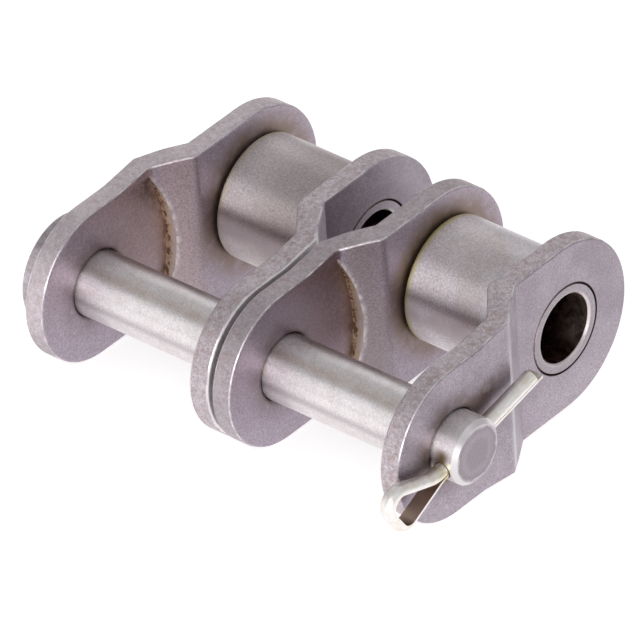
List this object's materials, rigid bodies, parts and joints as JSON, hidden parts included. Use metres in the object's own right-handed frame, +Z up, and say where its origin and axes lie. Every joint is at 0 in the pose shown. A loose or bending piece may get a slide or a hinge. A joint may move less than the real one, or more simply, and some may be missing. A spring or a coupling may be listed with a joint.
{
  "type": "offset chain link",
  "caption": "Duplex offset link of a roller chain: cranked plates, free rollers on bushes at one end, a headed pin kept by a split cotter at the other.",
  "frame": {"origin": "on the axis of the bushes, midway between the two strands", "axes": "+X along the pins, from the pin's head towards the cotter; +Y along the chain, from the pin end towards the roller end; +Z up, across the plates' height"},
  "size_m": [0.0648, 0.0519, 0.023],
  "materials": {
    "plate_steel": "blanked and tumbled steel plate, satin faces, darker mottled edges",
    "bush_steel": "ground case-hardened steel, dark oily bore",
    "roller_steel": "smooth hardened steel with a light film of oil",
    "pin_steel": "ground steel with fine marks around it",
    "cotter_steel": "bright drawn half-round wire"
  },
  "bodies": {
    "link": {"left_outer_plate": "plate_steel", "left_inner_plate": "plate_steel", "right_inner_plate": "plate_steel", "right_outer_plate": "plate_steel", "left_bush": "bush_steel", "right_bush": "bush_steel", "link_pin": "pin_steel", "cotter_pin": "cotter_steel"},
    "left_roller": {"left_roller": "roller_steel"},
    "right_roller": {"right_roller": "roller_steel"}
  },
  "joints": [
    {"name": "left_roller_spin", "type": "hinge", "parent": "link", "child": "left_roller", "pos_m": [-0.01465, 0, 0], "axis": [1, 0, 0], "continuous": true},
    {"name": "right_roller_spin", "type": "hinge", "parent": "link", "child": "right_roller", "pos_m": [0.01465, 0, 0], "axis": [1, 0, 0], "continuous": true}
  ]
}
